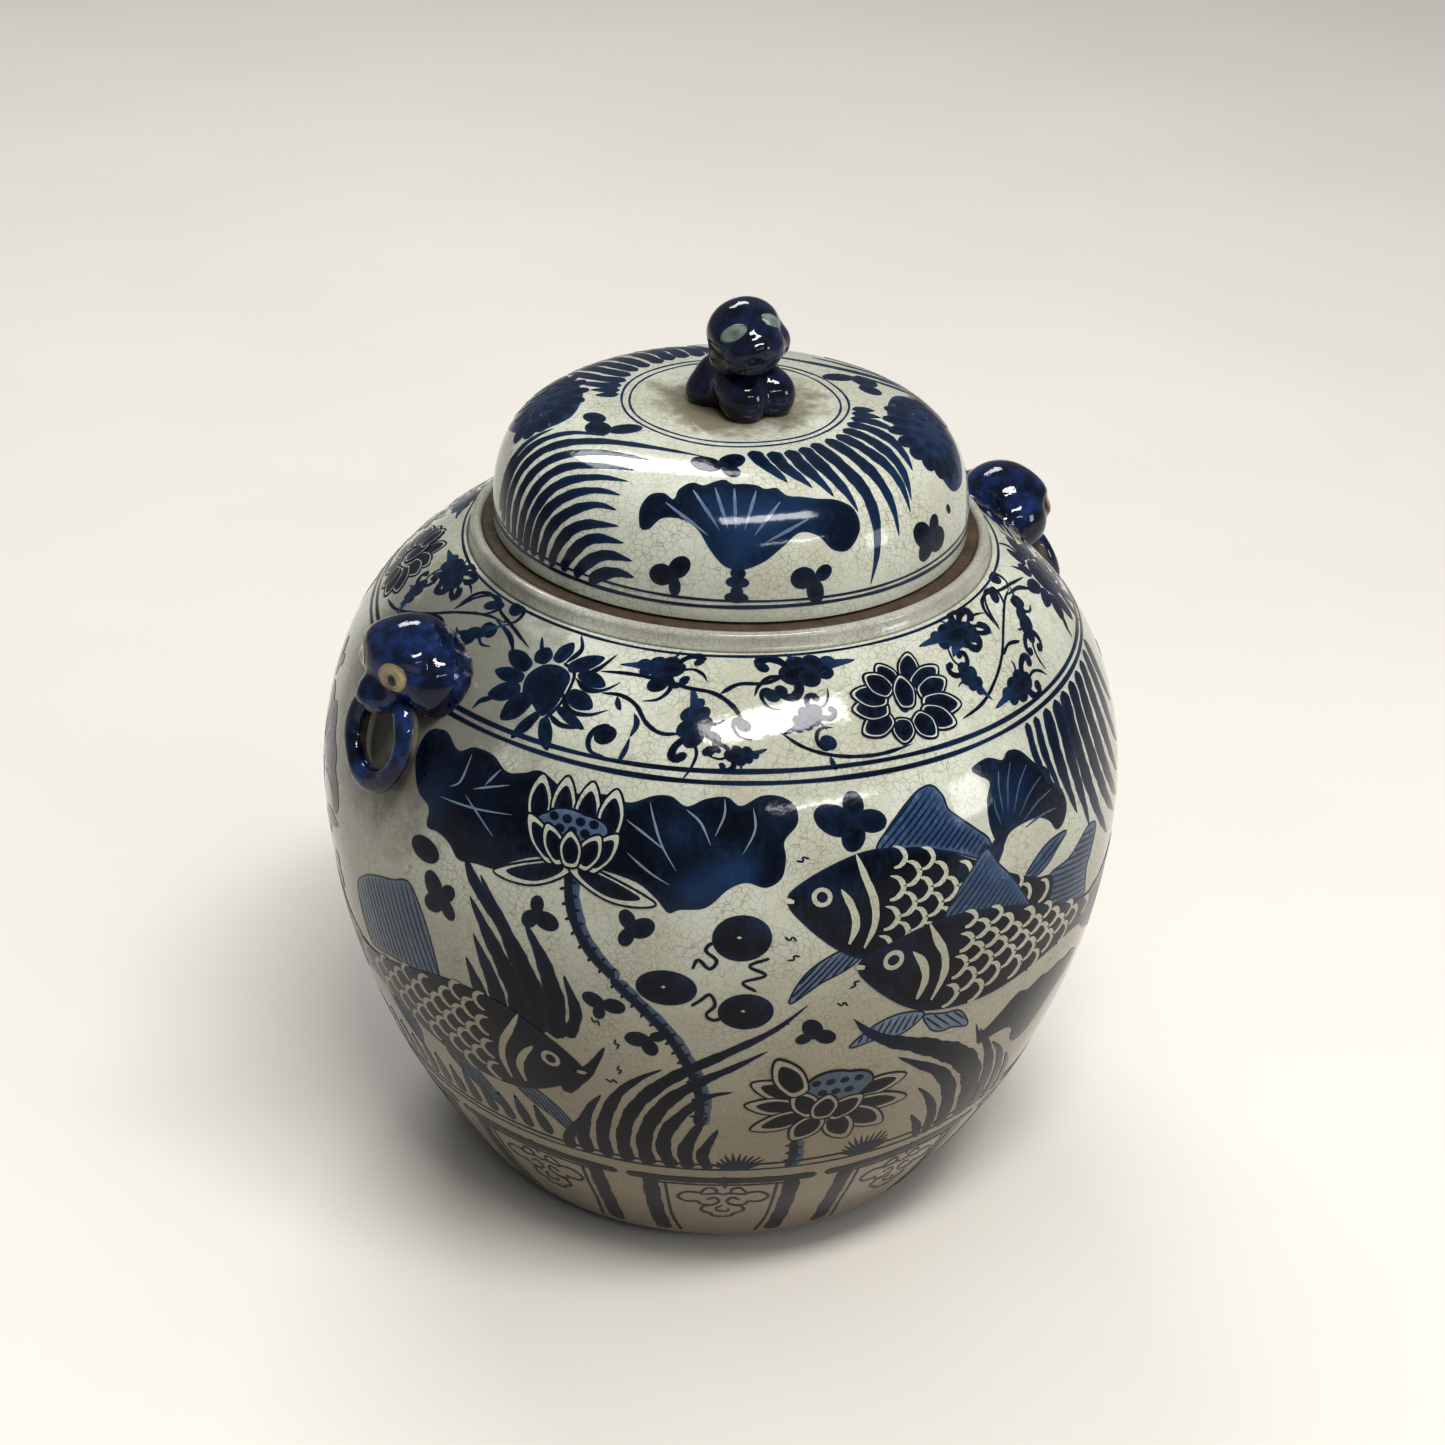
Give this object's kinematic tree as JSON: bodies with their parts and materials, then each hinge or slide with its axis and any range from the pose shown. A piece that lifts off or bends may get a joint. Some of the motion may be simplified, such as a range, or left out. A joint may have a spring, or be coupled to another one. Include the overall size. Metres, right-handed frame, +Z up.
{
  "type": "lidded ginger jar",
  "caption": "Wide-shouldered lidded stoneware jar with painted fish and lotus, a lift-off domed lid with a lion finial, and mock ring handles held by beast heads.",
  "frame": {"origin": "centre of the foot, on the surface the jar stands on", "axes": "+Z up along the jar's axis; the two handles are on -X (left) and +X (right); the lion finial faces -Y, which is the front"},
  "size_m": [0.332, 0.319, 0.3673],
  "materials": {
    "crackle_glaze": "glossy cream-grey glaze with fine crackle",
    "underglaze_dark": "glossy dark cobalt painting under the glaze",
    "underglaze_wash": "glossy mid-blue wash under the glaze",
    "cobalt_glaze": "very glossy cobalt glaze, thin and brown on edges",
    "eye_slip": "glossy cream slip",
    "biscuit": "matt unglazed stoneware, brown from the kiln"
  },
  "bodies": {
    "jar": {"foot_ring": "biscuit", "lower_body": "crackle_glaze", "upper_body": "crackle_glaze", "mouth_collar": "biscuit", "left_handle_head": "cobalt_glaze", "left_handle_eyes": "eye_slip", "left_handle_ring": "cobalt_glaze", "right_handle_head": "cobalt_glaze", "right_handle_eyes": "eye_slip", "right_handle_ring": "cobalt_glaze"},
    "lid": {"lid_dome": "crackle_glaze", "lid_flange": "biscuit", "finial_body": "cobalt_glaze", "finial_head": "cobalt_glaze", "finial_eyes": "eye_slip"}
  },
  "joints": [
    {"name": "lid_lift", "type": "slide", "parent": "jar", "child": "lid", "axis": [0, 0, 1], "range_m": [0, 0.12]}
  ]
}
